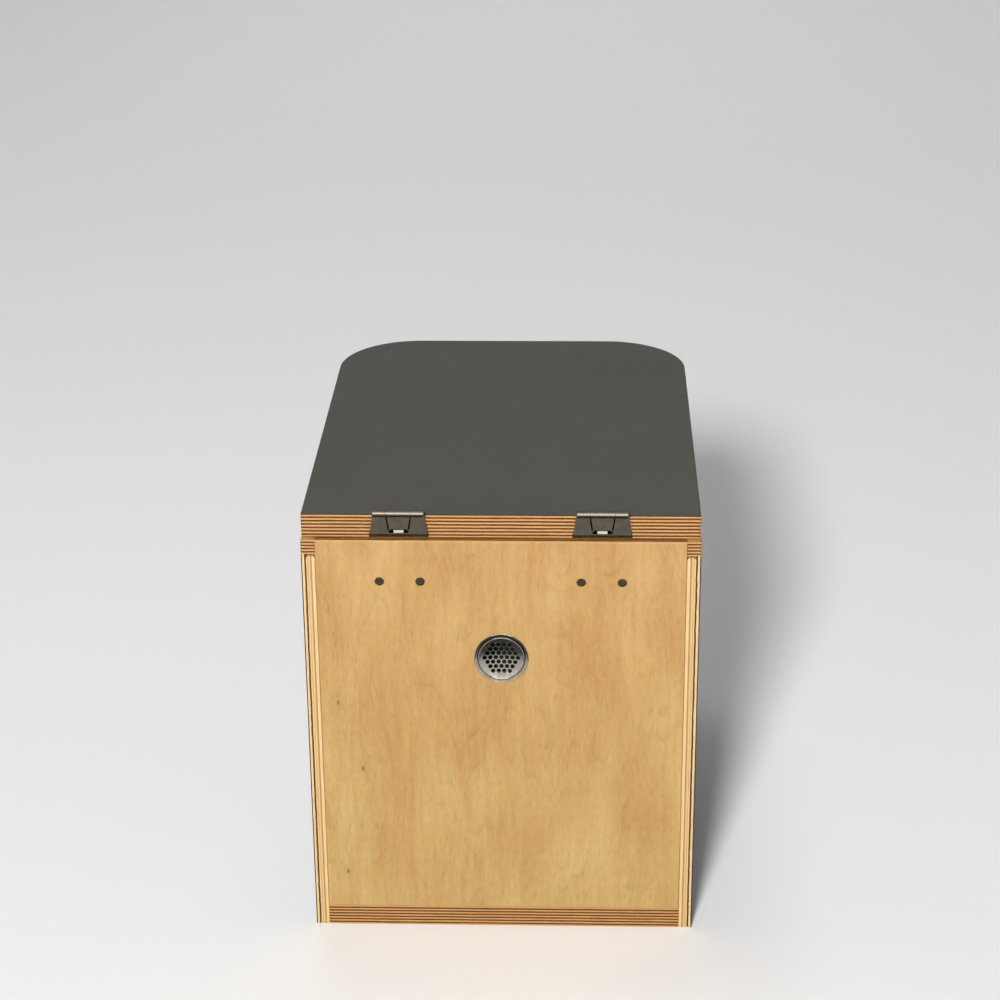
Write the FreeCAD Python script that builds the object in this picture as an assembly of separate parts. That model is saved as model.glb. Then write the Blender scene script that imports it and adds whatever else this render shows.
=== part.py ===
import FreeCAD, Part
import math
import os

# A compact dry toilet box: a bent-plywood cabinet with a rounded front, a fixed seat board and a
# laminated lid on two full-swing hinges. Behind the seat's opening it holds a separating insert,
# a canister for liquids at the front and a bucket for solids at the back.
#
# Millimetres. +Z up, front towards -Y, back panel towards +Y, symmetric about X = 0.
# The origin is on the floor, in the middle of the whole object's footprint.

# ---- driving dimensions -------------------------------------------------------------------------
WIDTH = 311.6
DEPTH = 407.5
CORNER_R = 70.0
SHELL_H = 338.5
WALL_T = 10.8
SKIN_T = 0.8
SKIN_LIFT = 0.3
PLY_12 = 12.0
PLY_18 = 18.0
EDGE_CHAMFER = 0.5
CORE_OUT = 2.5
CORE_IN = 3.9
CORE_SETBACK = 0.8
SHEET_DROP = 1.4
SHEET_ROUND = 2.6
PANEL_ROUND = 1.9

LID_T = 18.6
LID_GAP = 1.4
LID_SETBACK = 3.4
LID_SIDE_IN = 0.7
LID_DEPTH = 404.0

HINGE_X = 79.0
AXIS_OUT = 0.5
AXIS_UP = 2.2
PIN_R = 1.5
PIN_PLAY = 0.05
STEEL_T = 1.2
BARREL_L = 40.5
KNUCKLE_L = 19.2
KNUCKLE_GAP = 0.3

VENT_Z = 249.3
VENT_R = 21.5
VENT_HOLE_R = 18.4
GRILLE_ROWS = (4, 5, 6, 7, 6, 5, 4)
GRILLE_PITCH = 4.4
GRILLE_HOLE_R = 1.75

SCREW_Z = 315.0
SCREW_SPACING = 32.0
SCREW_RECESS_R = 3.5
SCREW_SINK = 1.8
SCREW_HEAD_R = 3.3
SCREW_SHANK_R = 2.0

OVAL_R = 98.0
OVAL_REAR = 170.0
OVAL_FRONT = 240.0
REBATE = 8.0
REBATE_DEPTH = 4.0
INSERT_T = 2.5

# ---- derived planes -----------------------------------------------------------------------------
HALF_W = WIDTH / 2
BARREL_R = PIN_R + STEEL_T + 0.05
LID_FRONT = LID_SETBACK + LID_DEPTH
REAR_PROUD = AXIS_OUT + BARREL_R
REAR_Y = (DEPTH + REAR_PROUD) / 2 - REAR_PROUD
INNER_HALF = HALF_W - WALL_T
SEAT_TOP = SHELL_H + PLY_12
LID_BOTTOM = SEAT_TOP + LID_GAP
LID_TOP = LID_BOTTOM + LID_T
LAMINATE_TOP = LID_TOP + SKIN_T
AXIS_Y = REAR_Y + AXIS_OUT
AXIS_Z = LAMINATE_TOP + AXIS_UP
PANEL_TOP = SEAT_TOP
PANEL_HALF = INNER_HALF - 0.1
PANEL_INNER_Y = REAR_Y - PLY_12
HINGE_SIDES = (("left", -1), ("right", 1))

X_AXIS = FreeCAD.Vector(1, 0, 0)
Y_AXIS = FreeCAD.Vector(0, 1, 0)
Z_AXIS = FreeCAD.Vector(0, 0, 1)


def vec(x, y, z):
    return FreeCAD.Vector(x, y, z)


def back(distance):
    """The Y of a plane that lies this far in front of the cabinet's rear face."""
    return REAR_Y - distance


def box(x0, x1, y0, y1, z0, z1):
    return Part.makeBox(x1 - x0, y1 - y0, z1 - z0, vec(x0, y0, z0))


def cylinder(radius, start, axis, length):
    return Part.makeCylinder(radius, length, start, axis)


def fused(shapes):
    whole = shapes[0]
    for shape in shapes[1:]:
        whole = whole.fuse(shape)
    return whole.removeSplitter()


def cut_all(shape, tools):
    for tool in tools:
        shape = shape.cut(tool)
    return shape


def export(name, shape):
    """Writes one node. A group of separate pieces is written as one compound of its solids."""
    solids = shape.Solids
    body = solids[0] if len(solids) == 1 else Part.makeCompound(solids)
    body.exportStep("parts/" + name + ".step")
    print(name, len(solids), round(body.Volume), body.isValid())


def wire_prism(edges, direction):
    return Part.Face(Part.Wire(edges)).extrude(direction)


def polygon_prism(points, direction):
    return Part.Face(Part.makePolygon(points + [points[0]])).extrude(direction)


def soften(shape, size, wanted):
    """Breaks the sharp edges that the test picks out."""
    edges = [edge for edge in shape.Edges if wanted(edge)]
    return shape.makeChamfer(size, edges)


def level_edge(z):
    """A test for edges that lie in the level plane at height z."""
    return lambda edge: all(abs(vertex.Z - z) < 1e-4 for vertex in edge.Vertexes)


def u_plan(half, y_front, y_rear, radius, z0, z1):
    """A prism with square rear corners and rounded front corners."""
    c = radius * (1 - math.sqrt(0.5))
    corners = [
        vec(half, y_rear, z0), vec(-half, y_rear, z0), vec(-half, y_front + radius, z0),
        vec(-half + c, y_front + c, z0), vec(-half + radius, y_front, z0),
        vec(half - radius, y_front, z0), vec(half - c, y_front + c, z0), vec(half, y_front + radius, z0),
    ]
    edges = [
        Part.LineSegment(corners[0], corners[1]).toShape(),
        Part.LineSegment(corners[1], corners[2]).toShape(),
        Part.Arc(corners[2], corners[3], corners[4]).toShape(),
        Part.LineSegment(corners[4], corners[5]).toShape(),
        Part.Arc(corners[5], corners[6], corners[7]).toShape(),
        Part.LineSegment(corners[7], corners[0]).toShape(),
    ]
    return wire_prism(edges, vec(0, 0, z1 - z0))


def oval(radius, z0, z1):
    """The seat opening's shape: two half circles joined by straight sides."""
    rear = cylinder(radius, vec(0, back(OVAL_REAR), z0), Z_AXIS, z1 - z0)
    front = cylinder(radius, vec(0, back(OVAL_FRONT), z0), Z_AXIS, z1 - z0)
    middle = box(-radius, radius, back(OVAL_FRONT), back(OVAL_REAR), z0, z1)
    return fused([rear, front, middle])


def rounded_block(half_x, y0, y1, z0, z1, radius):
    block = box(-half_x, half_x, y0, y1, z0, z1)
    upright = [e for e in block.Edges if abs(e.Vertexes[0].Z - e.Vertexes[1].Z) > (z1 - z0) / 2]
    return block.makeFillet(radius, upright)


# ---- cabinet ------------------------------------------------------------------------------------
def shell_layer(outer_in, inner_in):
    """A layer of the bent shell, between two distances in from the outer face."""
    outer = u_plan(HALF_W - outer_in, back(DEPTH - outer_in), REAR_Y, CORNER_R - outer_in, 0, SHELL_H)
    inner = u_plan(HALF_W - inner_in, back(DEPTH - inner_in), REAR_Y + 1, CORNER_R - inner_in,
                   -1, SHELL_H + 1)
    return outer.cut(inner)


def side_box(side, near, far, y0, y1, z0, z1):
    """A box on one side of the cabinet, between two distances in from its outer face."""
    x0, x1 = sorted((side * (HALF_W - near), side * (HALF_W - far)))
    return box(x0, x1, y0, y1, z0, z1)


def shell_end_cutters(side):
    """At the rear edge the dark middle ply lies back, and the inner sheet is low and rounded."""
    top = SHELL_H - SHEET_DROP
    front, rear = back(4), REAR_Y + 1
    groove = side_box(side, CORE_OUT, CORE_IN, back(CORE_SETBACK), rear, -1, SHELL_H + 1)
    step = side_box(side, CORE_OUT, WALL_T + 1, front, rear, top, SHELL_H + 1)
    cutters = [groove, step]
    for corner, middle in ((CORE_IN, CORE_IN + SHEET_ROUND), (WALL_T, WALL_T - SHEET_ROUND)):
        square = side_box(side, corner, middle, front, rear, top - SHEET_ROUND, top + 1)
        axis_start = vec(side * (HALF_W - middle), front - 1, top - SHEET_ROUND)
        cutters.append(square.cut(cylinder(SHEET_ROUND, axis_start, Y_AXIS, 10)))
    return cutters


def make_shell_core():
    core = shell_layer(SKIN_T, WALL_T)
    inner_upright = [e for e in core.Edges
                     if all(abs(abs(v.X) - INNER_HALF) < 1e-4 and abs(v.Y - REAR_Y) < 1e-4
                            for v in e.Vertexes) and len(e.Vertexes) == 2]
    core = core.makeFillet(0.6, inner_upright)
    return cut_all(core, shell_end_cutters(-1) + shell_end_cutters(1))


def make_shell_laminate():
    """The skin stops just above the floor, so that the plywood carries the box."""
    ground_gap = box(-HALF_W - 1, HALF_W + 1, back(DEPTH + 1), REAR_Y + 1, -1, SKIN_LIFT)
    return shell_layer(0, SKIN_T).cut(ground_gap)


def dowel_places():
    return [vec(x, back(PLY_12 / 2), 8) for x in (-110, 0, 110)]


def dowel(place):
    return cylinder(4.0, place, Z_AXIS, 22)


def make_base_board():
    board = u_plan(INNER_HALF, back(DEPTH - WALL_T), REAR_Y, CORNER_R - WALL_T, 0, PLY_18)
    return cut_all(board, [dowel(place) for place in dowel_places()])


def hinge_notch(side):
    """Room for one hinge arm where it turns down behind the back panel."""
    x = side * HINGE_X
    return box(x - 25, x + 25, back(21), back(PLY_12) + 0.1, SHELL_H - 1, SEAT_TOP + 1)


def make_seat_board():
    board = u_plan(HALF_W, back(DEPTH), REAR_Y, CORNER_R, SHELL_H, SEAT_TOP)
    panel_slot = box(-INNER_HALF, INNER_HALF, back(PLY_12), REAR_Y + 1, SHELL_H - 1, SEAT_TOP + 1)
    rebate = oval(OVAL_R + REBATE, SEAT_TOP - REBATE_DEPTH, SEAT_TOP + 1)
    board = soften(board, EDGE_CHAMFER, level_edge(SEAT_TOP))
    cutters = [panel_slot, oval(OVAL_R, SHELL_H - 1, SEAT_TOP + 1), rebate]
    return cut_all(board, cutters + [hinge_notch(side) for _, side in HINGE_SIDES])


def screw_places(side):
    x = side * HINGE_X
    return [vec(x - SCREW_SPACING / 2, REAR_Y, SCREW_Z), vec(x + SCREW_SPACING / 2, REAR_Y, SCREW_Z)]


def make_back_panel():
    """The panel stands in the seat board's slot, and the top of its rear face is rounded over."""
    panel = box(-PANEL_HALF, PANEL_HALF, PANEL_INNER_Y, REAR_Y, PLY_18, PANEL_TOP)
    rear_edges = [e for e in panel.Edges if all(abs(v.Y - REAR_Y) < 1e-4 for v in e.Vertexes)]
    panel = panel.makeFillet(0.7, rear_edges)
    round_y, round_z = back(PANEL_ROUND), PANEL_TOP - PANEL_ROUND
    top_strip = box(-HALF_W, HALF_W, round_y, REAR_Y + 1, round_z, PANEL_TOP + 1)
    roll = cylinder(PANEL_ROUND, vec(-HALF_W - 1, round_y, round_z), X_AXIS, WIDTH + 2)
    panel = panel.cut(top_strip.cut(roll))
    holes = [cylinder(VENT_HOLE_R, vec(0, REAR_Y + 1, VENT_Z), -Y_AXIS, PLY_12 + 2)]
    for _, side in HINGE_SIDES:
        for place in screw_places(side):
            holes.append(cylinder(SCREW_RECESS_R, place, -Y_AXIS, SCREW_SINK + 2.2))
            holes.append(cylinder(SCREW_SHANK_R, place, -Y_AXIS, PLY_12 + 1))
            holes.append(Part.makeCone(SCREW_RECESS_R + 0.7, SCREW_RECESS_R, 0.7, place, -Y_AXIS))
    return cut_all(panel, holes + [dowel(place) for place in dowel_places()])


def make_corner_battens():
    battens = []
    for side in (-1, 1):
        x0, x1 = sorted((side * (INNER_HALF - 15), side * INNER_HALF))
        battens.append(box(x0, x1, back(27), PANEL_INNER_Y, PLY_18, SHELL_H))
    return Part.makeCompound(battens)


def make_seat_cleats():
    cleats = []
    for side in (-1, 1):
        x0, x1 = sorted((side * (INNER_HALF - 12), side * INNER_HALF))
        cleats.append(box(x0, x1, back(330), back(40), SHELL_H - 12, SHELL_H))
    return Part.makeCompound(cleats)


def make_locating_battens():
    return Part.makeCompound([box(-96, -24, back(254), back(242), PLY_18, PLY_18 + 8),
                              box(24, 96, back(254), back(242), PLY_18, PLY_18 + 8)])


def cross_recess(place, length, width, depth):
    """A cross-shaped driver recess, cut into a head whose face is at this place."""
    bars = [box(place.x - length / 2, place.x + length / 2, place.y - depth, place.y + 1,
                place.z - width / 2, place.z + width / 2),
            box(place.x - width / 2, place.x + width / 2, place.y - depth, place.y + 1,
                place.z - length / 2, place.z + length / 2)]
    return fused(bars)


def make_panel_screws():
    screws = []
    for _, side in HINGE_SIDES:
        for place in screw_places(side):
            face = place - vec(0, SCREW_SINK, 0)
            head = cylinder(SCREW_HEAD_R, face, -Y_AXIS, 2.2)
            head = soften(head, 0.5, lambda e: abs(e.Vertexes[0].Y - face.y) < 1e-4)
            shank_start = face - vec(0, 2, 0)
            shank = cylinder(SCREW_SHANK_R, shank_start, -Y_AXIS, shank_start.y - back(LEG_OUT))
            screws.append(fused([head, shank]).cut(cross_recess(face, 4.2, 1.0, 1.6)))
    return Part.makeCompound(screws)


# ---- vent ---------------------------------------------------------------------------------------
SLEEVE_R = 17.6


def vent_ring(points):
    """Turns a half section, given as (radius, distance out of the panel), about the vent's axis."""
    corners = [vec(r, REAR_Y + out, VENT_Z) for r, out in points]
    face = Part.Face(Part.makePolygon(corners + [corners[0]]))
    return face.revolve(vec(0, REAR_Y, VENT_Z), Y_AXIS, 360)


def make_vent_flange():
    rim = [(VENT_R, 0.0), (VENT_R, 1.1), (VENT_R - 0.3, 1.4), (VENT_R - 0.7, 1.3)]
    channel = [(18.6, 0.85)]
    lip = [(18.5, 1.6), (18.3, 1.75), (17.9, 1.75), (17.7, 1.6)]
    sleeve = [(SLEEVE_R, 1.2), (SLEEVE_R, -9.0), (VENT_HOLE_R - 0.1, -9.0), (VENT_HOLE_R - 0.1, 0.0)]
    return vent_ring(rim + channel + lip + sleeve)


def make_vent_grille():
    """A pressed steel dish with rows of round holes, sunk inside the flange."""
    rim_out, sag, sheet = 1.0, 2.2, 0.6
    ball_r = (SLEEVE_R ** 2 + sag ** 2) / (2 * sag)
    centre = vec(0, REAR_Y + rim_out - sag + ball_r, VENT_Z)
    bowl = Part.makeSphere(ball_r + sheet, centre).cut(Part.makeSphere(ball_r, centre))
    dish = bowl.common(cylinder(SLEEVE_R, vec(0, REAR_Y + rim_out, VENT_Z), -Y_AXIS, sag + 3))
    holes = []
    for row, count in enumerate(GRILLE_ROWS):
        z = VENT_Z + (row - 3) * GRILLE_PITCH * math.sin(math.radians(60))
        for column in range(count):
            x = (column - (count - 1) / 2) * GRILLE_PITCH
            holes.append(cylinder(GRILLE_HOLE_R, vec(x, REAR_Y + 5, z), -Y_AXIS, 15))
    return dish.cut(Part.makeCompound(holes))


# ---- hinges -------------------------------------------------------------------------------------
LEAF_OUT = AXIS_OUT - 1.0
LEAF_IN = LEAF_OUT - STEEL_T
RUN_BOTTOM = LID_BOTTOM + 2.1
BEND_R = 1.9
LEAF_HALF_TOP = 20.25
LEAF_HALF_FOOT = 22.8
TONGUE_FOOT = AXIS_Z - 15.6
WINDOW_GAP = 1.1
TAB_HALF = 3.85
TAB_LEAN = 28.0
NOTCH_TOP = TONGUE_FOOT - WINDOW_GAP + 2.55
LEG_OUT = PLY_12 + 3.0


def bent_strip(half_width, path, bends):
    """A strip of sheet that follows a centre line in the YZ plane, with a round bend at each corner."""
    edges = []
    start = vec(0, *path[0])
    for corner, after, radius in zip(path[1:-1], path[2:], bends):
        turn = vec(0, *corner)
        way_in = (turn - start).normalize()
        way_out = (vec(0, *after) - turn).normalize()
        angle = way_in.getAngle(way_out)
        reach = radius * math.tan(angle / 2)
        near = turn - way_in * reach
        far = turn + way_out * reach
        to_centre = (way_out - way_in).normalize()
        centre = turn + to_centre * (radius / math.cos(angle / 2))
        middle = centre - to_centre * radius
        edges.append(Part.LineSegment(start, near).toShape())
        edges.append(Part.Arc(near, middle, far).toShape())
        start = far
    edges.append(Part.LineSegment(start, vec(0, *path[-1])).toShape())
    spine = Part.Wire(edges)
    first = vec(0, *path[0])
    across = (vec(0, *path[1]) - first).normalize().cross(X_AXIS)
    half = across * (STEEL_T / 2)
    corners = [first + half - X_AXIS * half_width, first - half - X_AXIS * half_width,
               first - half + X_AXIS * half_width, first + half + X_AXIS * half_width]
    section = Part.makePolygon(corners + [corners[0]])
    return spine.makePipeShell([section], True, False)


def barrel_piece(x0, x1, radius):
    return cylinder(radius, vec(x0, AXIS_Y, AXIS_Z), X_AXIS, x1 - x0)


def profile_cutter(points):
    """A prism through the hinge's leaves with this (x, z) outline."""
    corners = [vec(x, AXIS_Y - 30, z) for x, z in points]
    return polygon_prism(corners, vec(0, 60, 0))


def window_outline(slack):
    """The tongue's outline, grown by a slack on its sides and foot."""
    top = AXIS_Z + 10
    foot = TONGUE_FOOT - slack
    right = [(8.7 + slack, top), (8.7 + slack, AXIS_Z - 5), (7.2 + slack, foot + 2.0), (6.2 + slack, foot)]
    left = [(-x, z) for x, z in reversed(right)]
    return right + left


def leaf_centre_y():
    return REAR_Y + (LEAF_OUT + LEAF_IN) / 2


def make_body_arm(side):
    """The cabinet half: two knuckles, a flared leaf with a window, and an arm over the panel's top."""
    run_z = RUN_BOTTOM + STEEL_T / 2
    leg_y = back(LEG_OUT + STEEL_T / 2)
    path = [(leaf_centre_y(), AXIS_Z), (leaf_centre_y(), run_z), (leg_y, run_z), (leg_y, 308.0)]
    leaf = bent_strip(LEAF_HALF_FOOT, path, [BEND_R - STEEL_T / 2, 1.6])
    low, shoulder, high = 300.0, AXIS_Z - 2, AXIS_Z + 5
    right = [(LEAF_HALF_FOOT, low), (LEAF_HALF_FOOT, RUN_BOTTOM), (LEAF_HALF_TOP, shoulder),
             (LEAF_HALF_TOP, high)]
    left = [(-x, z) for x, z in reversed(right)]
    leaf = leaf.common(profile_cutter(right + left))
    end_gap = KNUCKLE_L / 2 + KNUCKLE_GAP
    barrel = barrel_piece(-BARREL_L / 2, BARREL_L / 2, BARREL_R)
    barrel = barrel.makeChamfer(0.7, [e for e in barrel.Edges if e.Closed])
    knuckles = [barrel.common(box(-40, -end_gap, 0, 400, 300, 400)),
                barrel.common(box(end_gap, 40, 0, 400, 300, 400))]
    rear_leaf = box(-20, 20, REAR_Y - 6, AXIS_Y + 10, RUN_BOTTOM - 5, AXIS_Z + 20)
    window = profile_cutter(window_outline(WINDOW_GAP)).common(rear_leaf)
    clear_ring = barrel_piece(-end_gap, end_gap, BARREL_R + 0.4)
    tab_z = TONGUE_FOOT - WINDOW_GAP
    tab = box(-TAB_HALF, TAB_HALF, REAR_Y + LEAF_IN, REAR_Y + LEAF_OUT, tab_z - 0.6, tab_z + 2.5)
    tab.rotate(vec(0, leaf_centre_y(), tab_z), X_AXIS, TAB_LEAN)
    tab = tab.common(box(-10, 10, REAR_Y - 10, REAR_Y + LEAF_OUT, tab_z - 5, tab_z + 5))
    arm = fused([leaf.cut(window).cut(clear_ring), tab] + knuckles)
    arm = arm.cut(barrel_piece(-30, 30, PIN_R))
    hole = cylinder(2.0, vec(0, leg_y - 5, SCREW_Z), Y_AXIS, 10)
    arm = arm.cut(hole)
    arm.translate(vec(side * HINGE_X, 0, 0))
    return arm


def make_hinge_pin(side):
    pin = barrel_piece(-BARREL_L / 2, BARREL_L / 2, PIN_R)
    pin.translate(vec(side * HINGE_X, 0, 0))
    return pin


CUP_R = 17.5
CUP_Y = LID_SETBACK + 36.5
CUP_TOP = LID_BOTTOM + 11.5
CUP_SCREW_X = 25.0
CUP_SCREW_R = 1.8
STRIP_Z = AXIS_Z - 15.0


def make_lid_arm(side):
    """The lid half: the middle knuckle, a tongue that fills the window, and a strip into the cup."""
    path = [(leaf_centre_y(), AXIS_Z), (leaf_centre_y(), STRIP_Z), (back(CUP_Y + 9), STRIP_Z)]
    leaf = bent_strip(8.7, path, [1.6])
    outline = window_outline(0)
    strip_room = box(-8.0, 8.0, back(CUP_Y + 20), REAR_Y + LEAF_IN, STRIP_Z - 1, STRIP_Z + 1)
    leaf = fused([leaf.common(profile_cutter(outline)), leaf.common(strip_room)])
    notch = box(-4.35, 4.35, REAR_Y - 4.2, REAR_Y + 2, STRIP_Z - 2, NOTCH_TOP)
    knuckle = barrel_piece(-KNUCKLE_L / 2, KNUCKLE_L / 2, BARREL_R)
    arm = fused([leaf.cut(notch), knuckle])
    arm = arm.cut(barrel_piece(-30, 30, PIN_R + PIN_PLAY))
    arm = arm.cut(cylinder(1.6, vec(0, back(CUP_Y), STRIP_Z - 3), Z_AXIS, 6))
    arm.translate(vec(side * HINGE_X, 0, 0))
    return arm


def make_mounting_plate(side):
    """A steel plate inside the back panel. The two panel screws pull it against the wood."""
    plate = box(-26, 26, back(LEG_OUT), PANEL_INNER_Y, 304, 326)
    plate = plate.makeFillet(3, [e for e in plate.Edges if abs(e.Vertexes[0].Y - e.Vertexes[-1].Y) > 1])
    holes = [cylinder(SCREW_SHANK_R, vec(x, back(LEG_OUT) - 5, SCREW_Z), Y_AXIS, 20)
             for x in (-SCREW_SPACING / 2, 0, SCREW_SPACING / 2)]
    plate = cut_all(plate, holes)
    plate.translate(vec(side * HINGE_X, 0, 0))
    return plate


def make_arm_screws():
    """One screw on each side clamps the hinge arm to its mounting plate."""
    screws = []
    for _, side in HINGE_SIDES:
        face = vec(side * HINGE_X, back(LEG_OUT + STEEL_T), SCREW_Z)
        head = cylinder(4.0, face, -Y_AXIS, 2.6)
        shank = cylinder(2.0, face, Y_AXIS, STEEL_T + 3.0)
        slot = box(face.x - 3, face.x + 3, face.y - 3, face.y - 1.6, face.z - 0.6, face.z + 0.6)
        screws.append(fused([head, shank]).cut(slot))
    return Part.makeCompound(screws)


def cup_wing(height, bottom):
    """The cup's flange: a disc with a wing for a screw on each side."""
    disc = cylinder(20.0, vec(0, back(CUP_Y), bottom), Z_AXIS, height)
    wing = rounded_block(30.0, back(CUP_Y) - 7, back(CUP_Y) + 7, bottom, bottom + height, 6.5)
    return fused([disc, wing])


def make_hinge_cup(side):
    """A pressed cup let into the lid's underside, with a bridge that carries the lid arm."""
    wall = cylinder(CUP_R, vec(0, back(CUP_Y), LID_BOTTOM), Z_AXIS, CUP_TOP - LID_BOTTOM)
    flange = cup_wing(0.7, LID_BOTTOM - 0.7)
    hollow = cylinder(CUP_R - 1.0, vec(0, back(CUP_Y), LID_BOTTOM - 1), Z_AXIS, CUP_TOP - LID_BOTTOM)
    mouth = box(-9.0, 9.0, back(CUP_Y), REAR_Y, LID_BOTTOM - 1, STRIP_Z + 1.2)
    bridge = rounded_block(7.0, back(CUP_Y + 8), back(CUP_Y - 8), STRIP_Z + 0.6, CUP_TOP - 0.5, 2)
    cup = fused([wall, flange]).cut(hollow).cut(mouth)
    cup = fused([cup, bridge])
    holes = [cylinder(CUP_SCREW_R, vec(x, back(CUP_Y), LID_BOTTOM - 2), Z_AXIS, 4)
             for x in (-CUP_SCREW_X, CUP_SCREW_X)]
    rivet_hole = cylinder(1.6, vec(0, back(CUP_Y), STRIP_Z), Z_AXIS, 3.0)
    cup = cut_all(cup, holes + [rivet_hole])
    cup.translate(vec(side * HINGE_X, 0, 0))
    return cup


def make_cup_screws():
    screws = []
    for _, side in HINGE_SIDES:
        for offset in (-CUP_SCREW_X, CUP_SCREW_X):
            foot = vec(side * HINGE_X + offset, back(CUP_Y), LID_BOTTOM - 0.7)
            shank = cylinder(CUP_SCREW_R, foot, Z_AXIS, 12.0)
            x, y, z = foot.x, foot.y, foot.z
            slots = fused([box(x - 1.9, x + 1.9, y - 0.4, y + 0.4, z - 1, z + 1),
                           box(x - 0.4, x + 0.4, y - 1.9, y + 1.9, z - 1, z + 1)])
            screws.append(shank.cut(slots))
    return Part.makeCompound(screws)


def make_arm_rivets():
    rivets = []
    for _, side in HINGE_SIDES:
        foot = vec(side * HINGE_X, back(CUP_Y), STRIP_Z - 0.6)
        head = cylinder(3.0, foot - vec(0, 0, 1.2), Z_AXIS, 1.2)
        shank = cylinder(1.6, foot, Z_AXIS, 3.0)
        rivets.append(fused([head, shank]))
    return Part.makeCompound(rivets)


# ---- lid ----------------------------------------------------------------------------------------
def lid_plan(z0, z1, inset):
    half = HALF_W - LID_SIDE_IN - inset
    return u_plan(half, back(LID_FRONT - inset), back(LID_SETBACK), CORNER_R - inset, z0, z1)


def lid_pockets(side):
    """Everything that is milled into the lid's underside for one hinge."""
    x = side * HINGE_X
    bore = cylinder(CUP_R, vec(x, back(CUP_Y), LID_BOTTOM - 1), Z_AXIS, CUP_TOP - LID_BOTTOM + 1)
    channel = box(x - 9.5, x + 9.5, back(CUP_Y), REAR_Y, LID_BOTTOM - 1, STRIP_Z + 3.4)
    half = LEAF_HALF_FOOT + 0.4
    relief = box(x - half, x + half, back(LEG_OUT + STEEL_T + 1.3), REAR_Y, LID_BOTTOM - 1, RUN_BOTTOM + 1.8)
    pocket = box(x - 11.5, x + 11.5, back(LID_SETBACK + 10), REAR_Y, RUN_BOTTOM, LID_TOP - 1.0)
    pilots = [cylinder(CUP_SCREW_R, vec(x + offset, back(CUP_Y), LID_BOTTOM - 1), Z_AXIS, 12.3)
              for offset in (-CUP_SCREW_X, CUP_SCREW_X)]
    return [bore, channel, relief, pocket] + pilots


def make_lid_board():
    board = lid_plan(LID_BOTTOM, LID_TOP, 0)
    board = soften(board, EDGE_CHAMFER, level_edge(LID_BOTTOM))
    for _, side in HINGE_SIDES:
        board = cut_all(board, lid_pockets(side))
    return board


def make_lid_laminate():
    sheet = lid_plan(LID_TOP, LAMINATE_TOP, 0)
    return soften(sheet, 0.35, level_edge(LAMINATE_TOP))


def make_lid_bumpers():
    pads = []
    for x, distance in ((-125, 60), (125, 60), (-105, 375), (105, 375)):
        pads.append(cylinder(5.0, vec(x, back(distance), LID_BOTTOM - 0.8), Z_AXIS, 0.8))
    return Part.makeCompound(pads)


# ---- what the cabinet holds -----------------------------------------------------------------------
SKIRT_BOTTOM = 268.0
DIVIDER = 217.5
DRAIN = 305.0
DRAIN_Z = 262.0
BOWL_SLOPE = 1.9
SPOUT_R = 14.0


def bowl_cone(lift):
    height = SEAT_TOP - DRAIN_Z
    foot_r = SPOUT_R + 2 - lift * BOWL_SLOPE
    return Part.makeCone(foot_r, foot_r + height * BOWL_SLOPE, height, vec(0, back(DRAIN), DRAIN_Z), Z_AXIS)


def make_separator_insert():
    """Front: a bowl that drains through a spout. Back: an open chute. A low wall divides them."""
    flange_top = SEAT_TOP - 0.3
    flange_bottom = SEAT_TOP - REBATE_DEPTH
    outer = OVAL_R - 0.8
    inner = outer - INSERT_T
    front = box(-150, 150, back(400), back(DIVIDER), 200, 400)
    rear = box(-150, 150, back(DIVIDER), back(0), 200, 400)
    flange = oval(OVAL_R + REBATE - 0.5, flange_bottom, flange_top)
    skirt = oval(outer, SKIRT_BOTTOM, flange_top).common(rear)
    bowl = oval(outer, DRAIN_Z, flange_top).common(front).common(bowl_cone(0))
    spout = cylinder(SPOUT_R, vec(0, back(DRAIN), DRAIN_Z - 22), Z_AXIS, 30)
    body = fused([flange, skirt, bowl, spout])
    chute_hole = oval(inner, SKIRT_BOTTOM - 1, SEAT_TOP).common(rear)
    chute_hole = chute_hole.cut(box(-150, 150, back(DIVIDER), back(DIVIDER - INSERT_T), 200, SEAT_TOP - 10))
    bowl_hole = oval(inner, DRAIN_Z, SEAT_TOP).common(front)
    bowl_hole = bowl_hole.common(bowl_cone(INSERT_T * 1.13))
    drain_hole = cylinder(SPOUT_R - INSERT_T, vec(0, back(DRAIN), DRAIN_Z - 23), Z_AXIS, 40)
    return cut_all(body, [chute_hole, bowl_hole, drain_hole])


CANISTER_HALF = 112.0
CANISTER_FRONT = 390.0
CANISTER_REAR = 258.0
CANISTER_TOP = 232.0
NECK_R = 25.0
NECK_TOP = DRAIN_Z - 10.0


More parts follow.
